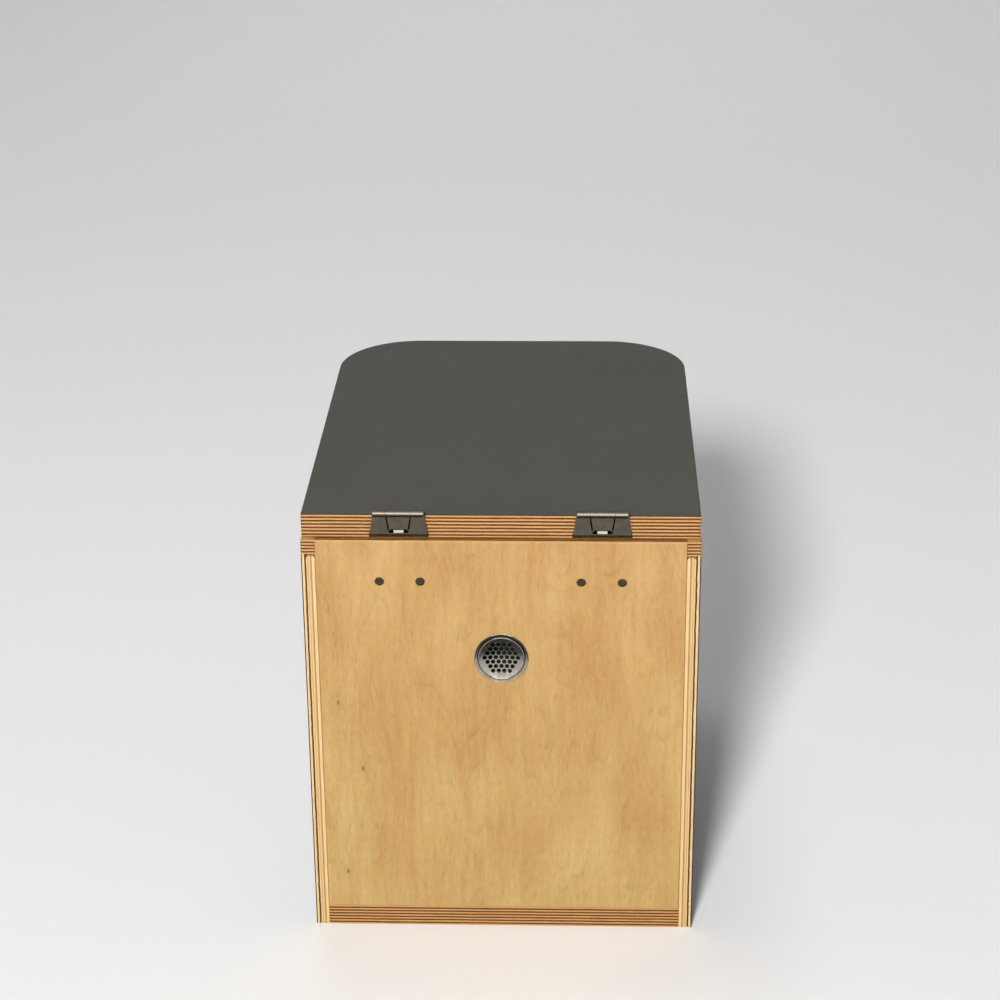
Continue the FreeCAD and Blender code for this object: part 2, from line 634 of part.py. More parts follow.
def make_urine_canister():
    foot, top = PLY_18 + 0.5, CANISTER_TOP
    body = rounded_block(CANISTER_HALF, back(CANISTER_FRONT), back(CANISTER_REAR), foot, top, 30)
    rims = [e for e in body.Edges if level_edge(top)(e) or level_edge(foot)(e)]
    body = body.makeFillet(8, rims)
    inside = rounded_block(CANISTER_HALF - 2, back(CANISTER_FRONT - 2), back(CANISTER_REAR + 2),
                           PLY_18 + 2.5, CANISTER_TOP - 2, 28)
    rims = [e for e in inside.Edges if level_edge(CANISTER_TOP - 2)(e) or level_edge(PLY_18 + 2.5)(e)]
    inside = inside.makeFillet(6, rims)
    neck = cylinder(NECK_R, vec(0, back(DRAIN), CANISTER_TOP - 1), Z_AXIS, NECK_TOP - CANISTER_TOP + 1)
    threads = [cylinder(NECK_R + 1.2, vec(0, back(DRAIN), z), Z_AXIS, 1.5)
               for z in (CANISTER_TOP + 8, CANISTER_TOP + 13)]
    handle = box(-50, 50, back(275), back(263), CANISTER_TOP - 1, CANISTER_TOP + 24)
    handle = handle.makeFillet(5, [e for e in handle.Edges
                                   if all(abs(v.Z - CANISTER_TOP - 24) < 1e-4 for v in e.Vertexes)])
    finger_gap = box(-40, 40, back(276), back(262), CANISTER_TOP, CANISTER_TOP + 14)
    mouth = cylinder(NECK_R - 3, vec(0, back(DRAIN), CANISTER_TOP - 5), Z_AXIS, 40)
    can = fused([body, neck] + threads + [handle.cut(finger_gap)])
    return cut_all(can, [inside, mouth])


BUCKET_RIM = 276.0
BUCKET_FRONT = 246.0
BUCKET_REAR = 38.0
BUCKET_HALF = 125.0
BUCKET_DRAFT = 12.0


def bucket_loft(inset, bottom, top):
    """A drafted block with rounded corners, this far inside the bucket's outer face."""
    def ring(z):
        lean = BUCKET_DRAFT * (BUCKET_RIM - z) / (BUCKET_RIM - PLY_18) + inset
        block = rounded_block(BUCKET_HALF - lean, back(BUCKET_FRONT - lean), back(BUCKET_REAR + lean),
                              z, z + 1, 40 - lean)
        face = [f for f in block.Faces if abs(f.CenterOfMass.z - z) < 1e-4][0]
        return face.OuterWire
    return Part.makeLoft([ring(bottom), ring(top)], True, True)


def bail_ear(side):
    start = vec(side * 121.5, back(142), 264)
    return cylinder(7.0, start, X_AXIS * side, 5.5)


def make_solids_bucket():
    outer = bucket_loft(0, PLY_18 + 0.5, BUCKET_RIM)
    inner = bucket_loft(2.0, PLY_18 + 3.0, BUCKET_RIM + 1)
    lip = rounded_block(BUCKET_HALF + 6, back(BUCKET_FRONT + 6), back(BUCKET_REAR - 6),
                        BUCKET_RIM - 3, BUCKET_RIM, 46)
    bucket = fused([outer, lip, bail_ear(-1), bail_ear(1)]).cut(inner)
    pivot = cylinder(2.05, vec(-140, back(142), 264), X_AXIS, 280)
    return bucket.cut(pivot)


def make_bucket_handle():
    """A wire bail, folded down round the front of the bucket."""
    z, pivot, bow, x, r = 264.0, back(142), back(255), 130.5, 40.0
    c = r * (1 - math.sqrt(0.5))
    edges = [
        Part.LineSegment(vec(x, pivot, z), vec(x, bow + r, z)).toShape(),
        Part.Arc(vec(x, bow + r, z), vec(x - c, bow + c, z), vec(x - r, bow, z)).toShape(),
        Part.LineSegment(vec(x - r, bow, z), vec(-x + r, bow, z)).toShape(),
        Part.Arc(vec(-x + r, bow, z), vec(-x + c, bow + c, z), vec(-x, bow + r, z)).toShape(),
        Part.LineSegment(vec(-x, bow + r, z), vec(-x, pivot, z)).toShape(),
    ]
    circle = Part.Wire(Part.makeCircle(2.0, vec(x, pivot, z), Y_AXIS))
    wire = Part.Wire(edges).makePipeShell([circle], True, False)
    ends = []
    for side in (-1, 1):
        ends.append(Part.makeSphere(2.0, vec(side * x, pivot, z)))
        ends.append(cylinder(2.0, vec(side * x, pivot, z), X_AXIS * -side, 7.0))
    return fused([wire] + ends)


def make_handle_grip():
    grip = cylinder(5.5, vec(-45, back(255), 264), X_AXIS, 90)
    grip = soften(grip, 1.0, lambda e: abs(abs(e.Vertexes[0].X) - 45) < 1e-4 and e.Closed)
    return grip.cut(cylinder(2.0, vec(-50, back(255), 264), X_AXIS, 100))


# ---- every node ---------------------------------------------------------------------------------
def main():
    os.makedirs("parts", exist_ok=True)
    export("shell_core", make_shell_core())
    export("shell_laminate", make_shell_laminate())
    export("base_board", make_base_board())
    export("seat_board", make_seat_board())
    export("back_panel", make_back_panel())
    export("corner_battens", make_corner_battens())
    export("seat_cleats", make_seat_cleats())
    export("locating_battens", make_locating_battens())
    export("panel_dowels", Part.makeCompound([dowel(place) for place in dowel_places()]))
    export("panel_screws", make_panel_screws())
    export("vent_flange", make_vent_flange())
    export("vent_grille", make_vent_grille())
    for name, side in HINGE_SIDES:
        export("hinge_body_arm_" + name, make_body_arm(side))
        export("hinge_pin_" + name, make_hinge_pin(side))
        export("mounting_plate_" + name, make_mounting_plate(side))
        export("hinge_lid_arm_" + name, make_lid_arm(side))
        export("hinge_cup_" + name, make_hinge_cup(side))
    export("arm_screws", make_arm_screws())
    export("arm_rivets", make_arm_rivets())
    export("cup_screws", make_cup_screws())
    export("lid_board", make_lid_board())
    export("lid_laminate", make_lid_laminate())
    export("lid_bumpers", make_lid_bumpers())
    export("separator_insert", make_separator_insert())
    export("urine_canister", make_urine_canister())
    export("solids_bucket", make_solids_bucket())
    export("bucket_handle", make_bucket_handle())
    export("handle_grip", make_handle_grip())


main()
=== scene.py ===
import math

import bpy
from mathutils import Matrix, Vector


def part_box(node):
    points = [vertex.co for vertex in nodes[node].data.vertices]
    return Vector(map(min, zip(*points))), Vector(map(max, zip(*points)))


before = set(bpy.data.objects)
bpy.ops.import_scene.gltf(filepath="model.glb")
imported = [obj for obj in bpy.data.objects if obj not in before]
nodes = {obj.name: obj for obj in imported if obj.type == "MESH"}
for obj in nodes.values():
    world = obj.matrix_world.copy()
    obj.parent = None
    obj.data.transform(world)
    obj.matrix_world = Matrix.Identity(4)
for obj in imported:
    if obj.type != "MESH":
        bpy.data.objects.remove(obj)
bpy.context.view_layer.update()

# The looks of a compact dry toilet box: oiled birch plywood with its plies on show, a dark matt
# laminate, pressed steel hinges and vent, and the moulded vessels that it holds.

# ---- places, read from the frame ----------------------------------------------------------------
MM = 1000.0
shell_low, shell_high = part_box("shell_laminate")
panel_low, panel_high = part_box("back_panel")
lid_low, lid_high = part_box("lid_board")
seat_low, seat_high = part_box("seat_board")
base_low, base_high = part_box("base_board")
vent_low, vent_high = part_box("vent_flange")
REAR_Y = shell_high.y
HALF_WIDTH = shell_high.x
CORNER_R = 0.070
WALL_T = (shell_high.x - base_high.x) * MM


# ---- camera -------------------------------------------------------------------------------------
LENS_MM = 86.31
SENSOR_MM = 36.0
VIEW_END = 60.0
CAMERA_TURN, CAMERA_TILT, CAMERA_ROLL = 182.03, 66.798, -0.487
CAMERA_PLACE = (-0.06003, REAR_Y + 1.69446, 1.11204)


def make_camera():
    """Behind the box and a little above it, looking down on the back panel."""
    data = bpy.data.cameras.new("camera")
    data.lens = LENS_MM
    data.sensor_width = SENSOR_MM
    data.clip_end = VIEW_END
    camera = bpy.data.objects.new("camera", data)
    bpy.context.scene.collection.objects.link(camera)
    turn = Matrix.Rotation(math.radians(CAMERA_TURN), 3, "Z")
    tilt = Matrix.Rotation(math.radians(CAMERA_TILT), 3, "X")
    roll = Matrix.Rotation(math.radians(CAMERA_ROLL), 3, "Z")
    camera.matrix_world = Matrix.Translation(Vector(CAMERA_PLACE)) @ (turn @ tilt @ roll).to_4x4()
    bpy.context.scene.camera = camera


# ---- shader building ----------------------------------------------------------------------------
def srgb(red, green, blue):
    """A colour in 0-255 screen values, as the linear colour that a shader takes."""
    def linear(value):
        value /= 255
        return value / 12.92 if value <= 0.04045 else ((value + 0.055) / 1.055) ** 2.4
    return (linear(red), linear(green), linear(blue), 1.0)


class Shader:
    """One material and short ways to add its nodes."""

    def __init__(self, name):
        self.material = bpy.data.materials.new(name)
        self.material.use_nodes = True
        self.tree = self.material.node_tree
        self.tree.nodes.clear()
        output = self.tree.nodes.new("ShaderNodeOutputMaterial")
        self.surface = self.tree.nodes.new("ShaderNodeBsdfPrincipled")
        self.tree.links.new(self.surface.outputs["BSDF"], output.inputs["Surface"])

    def plug(self, socket, value):
        if isinstance(value, bpy.types.NodeSocket):
            self.tree.links.new(value, socket)
        else:
            socket.default_value = value

    def set(self, **values):
        """Sets sockets of the surface shader, with underscores for the spaces in their names."""
        for name, value in values.items():
            self.plug(self.surface.inputs[name.replace("_", " ")], value)

    def add(self, kind, *values, **settings):
        node = self.tree.nodes.new(kind)
        for key, value in settings.items():
            setattr(node, key, value)
        for socket, value in zip(node.inputs, values):
            if value is not None:
                self.plug(socket, value)
        return node

    def math(self, operation, *values, clamp=False):
        return self.add("ShaderNodeMath", *values, operation=operation, use_clamp=clamp).outputs[0]

    def vector_math(self, operation, *values):
        return self.add("ShaderNodeVectorMath", *values, operation=operation).outputs[0]

    def length(self, vector):
        return self.add("ShaderNodeVectorMath", vector, operation="LENGTH").outputs["Value"]

    def position(self):
        """The point on the part, in millimetres in the part's own frame."""
        place = self.add("ShaderNodeTexCoord").outputs["Object"]
        return self.vector_math("MULTIPLY", place, (MM, MM, MM))

    def split(self, vector):
        return self.add("ShaderNodeSeparateXYZ", vector).outputs

    def join(self, x, y, z):
        return self.add("ShaderNodeCombineXYZ", x, y, z).outputs[0]

    def normal(self):
        """The way that a face points, in the part's own frame, so that it turns with the part."""
        world = self.add("ShaderNodeNewGeometry").outputs["True Normal"]
        own = self.add("ShaderNodeVectorTransform", world, vector_type="NORMAL", convert_from="WORLD",
                       convert_to="OBJECT")
        return self.split(own.outputs[0])

    def noise(self, vector, scale=1.0, detail=2.0, roughness=0.5, distortion=0.0):
        node = self.add("ShaderNodeTexNoise")
        self.plug(node.inputs["Vector"], vector)
        node.inputs["Scale"].default_value = scale
        node.inputs["Detail"].default_value = detail
        node.inputs["Roughness"].default_value = roughness
        node.inputs["Distortion"].default_value = distortion
        return node.outputs["Fac"]

    def remap(self, value, low, high, new_low=0.0, new_high=1.0):
        node = self.add("ShaderNodeMapRange", value, low, high, new_low, new_high)
        node.interpolation_type = "SMOOTHSTEP"
        return node.outputs[0]

    def ramp(self, factor, stops, interpolation="LINEAR"):
        node = self.add("ShaderNodeValToRGB", factor)
        ramp = node.color_ramp
        ramp.interpolation = interpolation
        while len(ramp.elements) < len(stops):
            ramp.elements.new(0.5)
        for element, (place, colour) in zip(ramp.elements, stops):
            element.position = place
            element.color = colour
        return node.outputs[0]

    def mix(self, factor, first, second, blend="MIX"):
        node = self.add("ShaderNodeMix", data_type="RGBA", blend_type=blend)
        node.inputs[0].default_value = 1.0
        self.plug(node.inputs[0], factor)
        self.plug(node.inputs[6], first)
        self.plug(node.inputs[7], second)
        return node.outputs[2]

    def shade(self, colour, value, depth):
        """Darkens a colour by up to depth where the value is 1."""
        factor = self.math("SUBTRACT", 1.0, self.math("MULTIPLY", value, depth))
        grey = self.join(factor, factor, factor)
        return self.mix(1.0, colour, grey, "MULTIPLY")

    def bump(self, height, distance, strength=1.0):
        """Raises the surface by up to distance metres where the height is 1."""
        node = self.add("ShaderNodeBump")
        node.inputs["Strength"].default_value = strength
        node.inputs["Distance"].default_value = distance
        self.plug(node.inputs["Height"], height)
        self.set(Normal=node.outputs[0])


# ---- wood ---------------------------------------------------------------------------------------
def veneer(shader, across, along, seed, tones, knots=()):
    """A rotary-cut face veneer. Returns its colour and its height. Knots are (across, along) places."""
    light, middle, dark = tones

    def noise(value, across_mm, along_mm, offset, detail, roughness=0.5):
        place = shader.join(shader.math("DIVIDE", value, across_mm), shader.math("DIVIDE", along, along_mm),
                            seed + offset)
        return shader.noise(place, detail=detail, roughness=roughness)

    near_knot = None
    swirl = 0.0
    for knot_across, knot_along in knots:
        offset = shader.join(shader.math("DIVIDE", shader.math("SUBTRACT", across, knot_across), 1.0),
                             shader.math("DIVIDE", shader.math("SUBTRACT", along, knot_along), 2.2), 0.0)
        reach = shader.length(offset)
        bulge = shader.math("DIVIDE", 1.0, shader.math("ADD", 1.0, shader.math("POWER", shader.math(
            "DIVIDE", reach, 7.0), 2.0)))
        swirl = shader.math("ADD", swirl, bulge)
        near_knot = reach if near_knot is None else shader.math("MINIMUM", near_knot, reach)
    sway = noise(across, 38.0, 130.0, 0.0, 3.0)
    bent = shader.math("ADD", across, shader.math("MULTIPLY", sway, 26.0))
    broad = noise(bent, 40.0, 120.0, 5.0, 2.0)
    bands = noise(bent, 5.2, 95.0, 9.0, 4.0, 0.62)
    mottle = noise(across, 2.6, 7.0, 2.0, 3.0, 0.6)
    tone = shader.math("ADD", shader.math("MULTIPLY", broad, 0.50),
                       shader.math("ADD", shader.math("MULTIPLY", bands, 0.28),
                                   shader.math("MULTIPLY", mottle, 0.22)))
    colour = shader.ramp(tone, [(0.38, light), (0.50, middle), (0.62, dark)])
    field = shader.math("MULTIPLY", noise(across, 60.0, 190.0, 13.0, 2.5, 0.45), 17.0)
    field = shader.math("ADD", field, shader.math("MULTIPLY", swirl, 2.4))
    rings = shader.ramp(shader.math("FRACT", field), [
        (0.00, (1, 1, 1, 1)), (0.10, (0.5, 0.5, 0.5, 1)), (0.45, (0.12, 0.12, 0.12, 1)), (0.90, (0, 0, 0, 1)),
        (1.00, (1, 1, 1, 1))])
    faded = shader.remap(noise(across, 30.0, 70.0, 17.0, 2.0), 0.38, 0.62)
    colour = shader.shade(colour, shader.math("MULTIPLY", rings, faded), 0.12)
    fleck = shader.remap(noise(bent, 0.75, 11.0, 1.0, 2.0, 0.4), 0.58, 0.72)
    fibre = noise(across, 0.28, 16.0, 7.0, 1.0)
    pore = shader.remap(noise(across, 1.1, 2.6, 21.0, 2.0), 0.60, 0.74)
    colour = shader.shade(colour, fleck, 0.13)
    colour = shader.shade(colour, pore, 0.10)
    colour = shader.shade(colour, shader.remap(fibre, 0.35, 0.75), 0.06)
    if near_knot is not None:
        stain = shader.remap(near_knot, 9.0, 1.0)
        colour = shader.shade(colour, stain, 0.10)
        core = shader.remap(near_knot, 1.3, 0.5)
        colour = shader.mix(shader.math("MULTIPLY", core, 0.85), colour, srgb(112, 72, 36))
    height = shader.math("SUBTRACT", shader.math("MULTIPLY", fibre, 0.5), shader.math("MULTIPLY", fleck, 0.8))
    return colour, height


def ply_stripes(shader, depth, along, plies, thickness, seed, light, dark):
    """Plies seen on a board's edge. depth runs through the board, in millimetres from one face."""
    wobble = shader.noise(shader.join(shader.math("DIVIDE", along, 34.0), seed,
                                      shader.math("DIVIDE", depth, 6.0)), detail=2.0)
    moved = shader.math("ADD", depth, shader.math("MULTIPLY", shader.math("SUBTRACT", wobble, 0.5), 0.5))
    turn = shader.math("MULTIPLY", moved, plies * math.pi / thickness)
    wave = shader.math("SINE", turn)
    index = shader.math("FLOOR", shader.math("DIVIDE", moved, thickness / plies))
    odd = shader.math("PINGPONG", index, 1.0)
    signed = shader.math("MULTIPLY", shader.math("ABSOLUTE", wave), shader.math("SUBTRACT", 1.0,
                         shader.math("MULTIPLY", odd, 2.0)))
    is_light = shader.remap(signed, -0.30, 0.42)
    streak = shader.noise(shader.join(shader.math("DIVIDE", along, 16.0), seed + 3.0,
                                      shader.math("MULTIPLY", index, 3.7)), detail=4.0, roughness=0.65)
    pores = shader.noise(shader.join(shader.math("DIVIDE", along, 0.9), seed + 1.0,
                                     shader.math("DIVIDE", depth, 0.35)), detail=2.0)
    light_tone = shader.ramp(streak, [(0.3, light[0]), (0.7, light[1])])
    dark_tone = shader.ramp(streak, [(0.3, dark[0]), (0.7, dark[1])])
    colour = shader.mix(is_light, dark_tone, light_tone)
    pit = shader.math("MULTIPLY", shader.remap(pores, 0.52, 0.74),
                      shader.math("SUBTRACT", 1.0, shader.math("MULTIPLY", is_light, 0.8)))
    colour = shader.shade(colour, pit, 0.42)
    height = shader.math("SUBTRACT", shader.math("MULTIPLY", is_light, 0.5), pit)
    return colour, height


EDGE_LIGHT = (srgb(173, 128, 73), srgb(187, 143, 86))
EDGE_DARK = (srgb(72, 32, 4), srgb(99, 51, 11))
FACE_TONES = (srgb(210, 170, 108), srgb(200, 156, 96), srgb(190, 141, 82))
PANEL_TONES = (srgb(182, 153, 97), srgb(173, 140, 84), srgb(167, 127, 73))
PANEL_TOP_TINT = srgb(254, 244, 243)
PANEL_KNOTS = ((113.0, 148.0), (128.0, 51.0), (131.0, 208.0))
THIN_PLIES = 9
THICK_PLIES = 13


def level_board(name, low, high, plies, seed):
    """Plywood that lies flat: face grain above and below, plies round the edge."""
    shader = Shader(name)
    x, y, z = shader.split(shader.position())
    _, _, nz = shader.normal()
    depth = shader.math("SUBTRACT", z, low.z * MM)
    along = shader.math("ADD", x, y)
    thickness = (high.z - low.z) * MM
    edge, edge_height = ply_stripes(shader, depth, along, plies, thickness, seed, EDGE_LIGHT, EDGE_DARK)
    face, face_height = veneer(shader, x, y, seed + 20.0, FACE_TONES)
    level = shader.remap(shader.math("ABSOLUTE", nz), 0.80, 0.95)
    shader.set(Base_Color=shader.mix(level, edge, face), Roughness=0.55, Specular_IOR_Level=0.35)
    height = shader.add("ShaderNodeMix", level, data_type="FLOAT")
    shader.plug(height.inputs[2], edge_height)
    shader.plug(height.inputs[3], face_height)
    shader.bump(height.outputs[0], 0.00012)
    return shader.material


def panel_wood():
    """The back panel: face grain upright, plies on its narrow edges, warmer towards the top."""
    shader = Shader("panel_birch")
    x, y, z = shader.split(shader.position())
    _, ny, _ = shader.normal()
    face, face_height = veneer(shader, x, z, 3.0, PANEL_TONES, PANEL_KNOTS)
    upper = shader.remap(z, panel_low.z * MM, panel_high.z * MM)
    face = shader.mix(upper, face, shader.mix(1.0, face, PANEL_TOP_TINT, "MULTIPLY"))
    depth = shader.math("SUBTRACT", panel_high.y * MM, y)
    along = shader.math("ADD", x, z)
    thickness = (panel_high.y - panel_low.y) * MM
    edge, _ = ply_stripes(shader, depth, along, THIN_PLIES, thickness, 8.0, EDGE_LIGHT, EDGE_DARK)
    flat = shader.remap(shader.math("ABSOLUTE", ny), 0.55, 0.85)
    shader.set(Base_Color=shader.mix(flat, edge, face), Roughness=0.5, Specular_IOR_Level=0.35)
    shader.bump(face_height, 0.00010)
    return shader.material


def shell_depth(shader, x, y):
    """How far a point lies inside the shell's outer face, in millimetres."""
    radius = CORNER_R * MM
    across = shader.math("ADD", shader.math("SUBTRACT", shader.math("ABSOLUTE", x), HALF_WIDTH * MM), radius)
    ahead = shader.math("SUBTRACT", (shell_low.y * MM) + radius, y)
    outside = shader.join(shader.math("MAXIMUM", across, 0.0), shader.math("MAXIMUM", ahead, 0.0), 0.0)
    reach = shader.length(outside)
    inside = shader.math("MINIMUM", shader.math("MAXIMUM", across, ahead), 0.0)
    return shader.math("SUBTRACT", radius, shader.math("ADD", reach, inside))


def shell_wood():
    """Bent plywood: thick uneven layers on the edges, and upright grain inside."""
    shader = Shader("bent_plywood")
    x, y, z = shader.split(shader.position())
    _, ny, nz = shader.normal()
    depth = shell_depth(shader, x, y)
    ripple = shader.noise(shader.join(shader.math("DIVIDE", z, 7.0), shader.math("DIVIDE", y, 7.0),
                                      shader.math("DIVIDE", x, 300.0)), detail=5.0, roughness=0.7)
    rough_zone = shader.remap(shader.math("ABSOLUTE", shader.math("SUBTRACT", depth, 3.2)), 2.2, 0.6)
    drift = shader.math("MULTIPLY", shader.math("SUBTRACT", ripple, 0.5),
                        shader.math("MULTIPLY", rough_zone, 1.8))
    layer = shader.math("DIVIDE", shader.math("ADD", depth, drift), WALL_T)
    pale, cream, tan = srgb(187, 152, 99), srgb(203, 175, 126), srgb(161, 115, 63)
    red, line = srgb(83, 42, 16), srgb(154, 111, 63)
    colour = shader.ramp(layer, [
        (0.00, cream), (0.225, cream), (0.245, red), (0.350, red), (0.370, cream), (0.50, pale), (0.52, line),
        (0.54, cream), (0.66, pale), (0.68, tan), (0.76, tan), (0.78, cream), (1.00, cream)])
    streak = shader.noise(shader.join(shader.math("DIVIDE", shader.math("ADD", x, y), 1.1),
                                      shader.math("DIVIDE", z, 26.0), 4.0), detail=4.0)
    colour = shader.shade(colour, shader.remap(streak, 0.35, 0.75), 0.14)
    face, _ = veneer(shader, y, z, 31.0, FACE_TONES)
    on_edge = shader.remap(shader.math("MAXIMUM", shader.math("ABSOLUTE", nz), ny), 0.70, 0.95)
    shader.set(Base_Color=shader.mix(on_edge, face, colour), Roughness=0.55, Specular_IOR_Level=0.35)
    shader.bump(streak, 0.00010)
    return shader.material


def softwood():
    """Planed softwood with upright grain, for the pieces that only hold others."""
    shader = Shader("planed_softwood")
    x, y, z = shader.split(shader.position())
    rings = shader.noise(shader.join(shader.math("DIVIDE", x, 2.2), shader.math("DIVIDE", y, 2.6),
                                     shader.math("DIVIDE", z, 70.0)), detail=3.0)
    colour = shader.ramp(rings, [
        (0.35, srgb(226, 190, 136)), (0.55, srgb(214, 168, 110)), (0.7, srgb(186, 132, 78))])
    shader.set(Base_Color=colour, Roughness=0.62, Specular_IOR_Level=0.3)
    shader.bump(rings, 0.0001)
    return shader.material


# ---- laminate -----------------------------------------------------------------------------------
def laminate(name, decor_axis):
    """Dark matt laminate. Its decor shows on the broad face, and its brown core on the cut edges."""
    shader = Shader(name)
    place = shader.position()
    _, ny, nz = shader.normal()
    cloud = shader.noise(place, scale=0.012, detail=3.0)
    grain = shader.noise(place, scale=1.6, detail=3.0, roughness=0.6)
    decor = shader.ramp(cloud, [(0.3, srgb(74, 73, 68)), (0.7, srgb(77, 76, 71))])
    decor = shader.shade(decor, grain, 0.04)
    if decor_axis == "level":
        on_face = shader.remap(nz, 0.80, 0.95)
    else:
        on_face = shader.remap(shader.math("MAXIMUM", shader.math("ABSOLUTE", nz), ny), 0.95, 0.70)
    chips = shader.noise(place, scale=0.55, detail=4.0, roughness=0.7)
    core = shader.ramp(chips, [(0.35, srgb(26, 18, 13)), (0.62, srgb(58, 36, 24))])
    scuff = shader.noise(place, scale=0.05, detail=5.0, roughness=0.7)
    shader.set(Base_Color=shader.mix(on_face, core, decor),
               Roughness=shader.remap(scuff, 0.3, 0.75, 0.50, 0.66), Specular_IOR_Level=0.30)
    shader.bump(grain, 0.00006)
    return shader.material


# ---- metal --------------------------------------------------------------------------------------
NICKEL_TONES = (srgb(112, 107, 97), srgb(124, 119, 108))
FLANGE_TONES = (srgb(196, 189, 175), srgb(210, 203, 189))
GRILLE_TONES = (srgb(196, 191, 180), srgb(212, 207, 196))
ZINC_TONES = (srgb(92, 89, 84), srgb(110, 106, 100))
# The radius of a ring of painted shade in the vent flange's groove, in millimetres.
VENT_SHADE_RING_R = 18.75


def steel(name, tones, roughness, brush_axis, shade_ring=None):
    """Satin sheet steel with faint drawn lines along one axis.

    Its last argument paints a dark ring of shade into the colour where a round groove lies in shade, given as
    (centre, radius) in millimetres, with its axis along Y.
    """
    shader = Shader(name)
    place = shader.position()
    stretch = {"x": (0.05, 3.5, 3.5), "z": (3.5, 3.5, 0.05)}[brush_axis]
    lines = shader.noise(shader.vector_math("MULTIPLY", place, stretch), detail=3.0)
    cloud = shader.noise(place, scale=0.16, detail=4.0, roughness=0.65)
    colour = shader.ramp(cloud, [(0.3, tones[0]), (0.7, tones[1])])
    if shade_ring:
        centre, radius = shade_ring
        x, y, z = shader.split(shader.vector_math("SUBTRACT", place, centre))
        reach = shader.length(shader.join(x, 0.0, z))
        gap = shader.math("ABSOLUTE", shader.math("SUBTRACT", reach, radius))
        # Painted shade: a dark ring about 1 mm wide along the groove, where it lies in shade.
        colour = shader.shade(colour, shader.remap(gap, 0.55, 0.20), 0.88)
    shader.set(Base_Color=shader.shade(colour, lines, 0.10), Metallic=1.0,
               Roughness=shader.remap(cloud, 0.3, 0.7, roughness - 0.05, roughness + 0.08))
    shader.bump(lines, 0.000006)
    return shader.material


# ---- plastics -----------------------------------------------------------------------------------
CANISTER_CLEAR = 0.3


def plastic(name, tones, roughness, pebble, clear=0.0):
    """Moulded plastic: a fine texture, faint flow marks and a slightly uneven gloss."""
    shader = Shader(name)
    place = shader.position()
    flow = shader.noise(place, scale=0.02, detail=3.0, distortion=0.6)
    dimple = shader.noise(place, scale=1.3, detail=2.0)
    colour = shader.ramp(flow, [(0.3, tones[0]), (0.7, tones[1])])
    shader.set(Base_Color=colour,
               Roughness=shader.remap(dimple, 0.3, 0.7, roughness - 0.05, roughness + 0.05))
    if clear:
        shader.set(Subsurface_Weight=clear, Subsurface_Radius=(0.004, 0.004, 0.004))
    shader.bump(dimple, pebble)
    return shader.material


def paint(material, *names):
    """Gives every named CAD node this one material."""
    for name in names:
        slots = nodes[name].data.materials
        slots.clear()
        slots.append(material)


def paint_everything():
    lid_wood = level_board("lid_plywood", lid_low, lid_high, THICK_PLIES, 1.0)
    seat_wood = level_board("seat_plywood", seat_low, seat_high, THIN_PLIES, 12.0)
    base_wood = level_board("base_plywood", base_low, base_high, THICK_PLIES, 25.0)
    paint(lid_wood, "lid_board")
    paint(seat_wood, "seat_board")
    paint(base_wood, "base_board")
    paint(panel_wood(), "back_panel")
    paint(shell_wood(), "shell_core")
    paint(softwood(), "corner_battens", "seat_cleats", "locating_battens", "panel_dowels")
    paint(laminate("lid_laminate_dark", "level"), "lid_laminate")
    paint(laminate("shell_laminate_dark", "upright"), "shell_laminate")
    hinge = steel("hinge_nickel", NICKEL_TONES, 0.22, "x")
    for side in ("left", "right"):
        paint(hinge, "hinge_body_arm_" + side, "hinge_lid_arm_" + side, "hinge_pin_" + side,
              "hinge_cup_" + side, "mounting_plate_" + side)
    # The vent flange gets a dark ring of painted shade along its groove.
    vent_shade_ring = ((vent_low + vent_high) * (MM / 2), VENT_SHADE_RING_R)
    paint(steel("vent_flange_steel", FLANGE_TONES, 0.15, "x", vent_shade_ring), "vent_flange")
    paint(steel("vent_grille_steel", GRILLE_TONES, 0.20, "x"), "vent_grille")
    zinc = steel("screw_zinc", ZINC_TONES, 0.32, "z")
    paint(zinc, "panel_screws", "arm_screws", "arm_rivets", "cup_screws", "bucket_handle")
    plastics = [
        ("bumper_rubber", (srgb(38, 38, 38), srgb(46, 46, 46)), 0.7, 0.00005, 0.0, "lid_bumpers"),
        ("insert_white", (srgb(232, 232, 228), srgb(240, 240, 236)), 0.28, 0.00002, 0.0, "separator_insert"),
        ("canister_natural", (srgb(214, 218, 212), srgb(226, 229, 224)), 0.42, 0.00004, CANISTER_CLEAR,
         "urine_canister"),
        ("bucket_black", (srgb(38, 40, 42), srgb(48, 50, 52)), 0.45, 0.00005, 0.0, "solids_bucket"),
        ("grip_black", (srgb(30, 30, 32), srgb(40, 40, 42)), 0.5, 0.00006, 0.0, "handle_grip"),
    ]
    for name, tones, roughness, pebble, clear, node in plastics:
        paint(plastic(name, tones, roughness, pebble, clear), node)


# ---- stage --------------------------------------------------------------------------------------
FLOOR_REACH = 14.0
FLOOR_WHITE = srgb(242, 242, 242)
ROOM_REACH = 8.0
ROOM_HEIGHT = 6.0
ROOM_LIGHT = 0.14
WARM_WHITE = (1.0, 0.98, 0.94, 1.0)
WHITE = (1.0, 1.0, 1.0, 1.0)


def stage_material(name, colour, roughness):
    shader = Shader(name)
    shader.set(Base_Color=colour, Roughness=roughness, Specular_IOR_Level=0.1)
    return shader.material


def make_floor():
    mesh = bpy.data.meshes.new("floor")
    reach = FLOOR_REACH
    corners = [(-reach, -reach, 0), (reach, -reach, 0), (reach, reach, 0), (-reach, reach, 0)]
    mesh.from_pydata(corners, [], [(0, 1, 2, 3)])
    floor = bpy.data.objects.new("floor", mesh)
    bpy.context.scene.collection.objects.link(floor)
    mesh.materials.append(stage_material("floor_white", FLOOR_WHITE, 0.9))


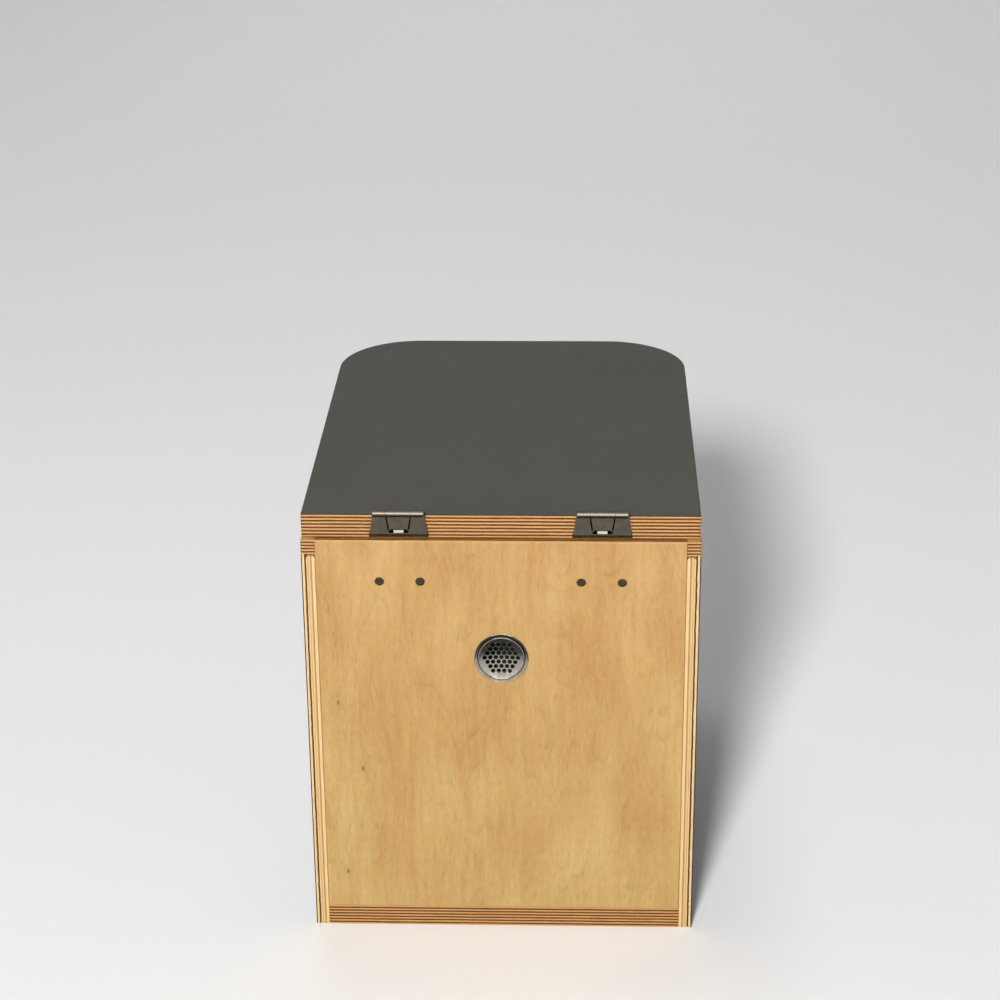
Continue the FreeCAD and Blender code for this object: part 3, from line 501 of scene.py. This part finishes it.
def area_light(name, place, target, size, power):
    """A round lamp that faces its target and stays out of mirror-like reflections."""
    data = bpy.data.lights.new(name, "AREA")
    data.shape = "DISK"
    data.size = size
    data.energy = power
    light = bpy.data.objects.new(name, data)
    bpy.context.scene.collection.objects.link(light)
    light.location = place
    light.rotation_mode = "QUATERNION"
    light.rotation_quaternion = (Vector(target) - Vector(place)).to_track_quat("-Z", "Y")
    light.visible_glossy = False


def reflection_card(name, corners, glow):
    """A surface that only mirror-like rays see, so that metal has a plain room to reflect."""
    mesh = bpy.data.meshes.new(name)
    mesh.from_pydata(corners, [], [tuple(range(len(corners)))])
    card = bpy.data.objects.new(name, mesh)
    bpy.context.scene.collection.objects.link(card)
    material = bpy.data.materials.new(name)
    material.use_nodes = True
    tree = material.node_tree
    tree.nodes.clear()
    output = tree.nodes.new("ShaderNodeOutputMaterial")
    light = tree.nodes.new("ShaderNodeEmission")
    light.inputs["Color"].default_value = WARM_WHITE
    light.inputs["Strength"].default_value = glow
    tree.links.new(light.outputs[0], output.inputs["Surface"])
    mesh.materials.append(material)
    card.visible_camera = False
    card.visible_diffuse = False
    card.visible_transmission = False
    card.visible_volume_scatter = False
    card.visible_shadow = False


def level_card(name, x, y0, y1, z, glow):
    reflection_card(name, [(-x, y0, z), (x, y0, z), (x, y1, z), (-x, y1, z)], glow)


def upright_card(name, x, y, z0, z1, glow):
    reflection_card(name, [(-x, y, z0), (x, y, z0), (x, y, z1), (-x, y, z1)], glow)


def make_reflections():
    """A dim floor by the box, a lighter floor further out, a bright window behind the camera."""
    reach, height = ROOM_REACH, ROOM_HEIGHT
    level_card("near_floor", 0.6, -0.7, REAR_Y + 0.45, 0.0006, 0.05)
    level_card("far_floor", reach, -reach, reach, 0.0004, 0.62)
    level_card("ceiling", reach, -reach, reach, height, 0.70)
    upright_card("front_wall", reach, -reach, 0.0, height, 0.16)
    upright_card("rear_wall", reach, reach, 0.0, height, 0.95)
    upright_card("window", 1.8, 3.6, 0.6, 3.0, 4.8)
    level_card("high_window", 1.8, 1.6, 3.6, 3.0, 3.4)
    for name, x in (("left_wall", reach), ("right_wall", -reach)):
        corners = [(x, -reach, 0.0), (x, reach, 0.0), (x, reach, height), (x, -reach, height)]
        reflection_card(name, corners, 0.55)


def make_light():
    """A soft key far behind the camera's left, weak ones over the box, and a wash on the floor beyond it."""
    middle = (0, 0, 0.2)
    area_light("low_key", (1.05, 5.9, 3.5), middle, 1.1, 565)
    area_light("high_key", (0.3, -0.4, 2.6), middle, 0.6, 7)
    area_light("front_key", (0.3, -1.2, 2.6), middle, 1.0, 1)
    area_light("far_wash", (0, -4.0, 3.2), (0, -4.0, 0), 2.4, 40)
    world = bpy.data.worlds.new("studio")
    bpy.context.scene.world = world
    world.use_nodes = True
    backdrop = world.node_tree.nodes["Background"]
    backdrop.inputs["Color"].default_value = WHITE
    backdrop.inputs["Strength"].default_value = ROOM_LIGHT
    bpy.context.scene.view_settings.view_transform = "Standard"


make_camera()
paint_everything()
make_floor()
make_reflections()
make_light()
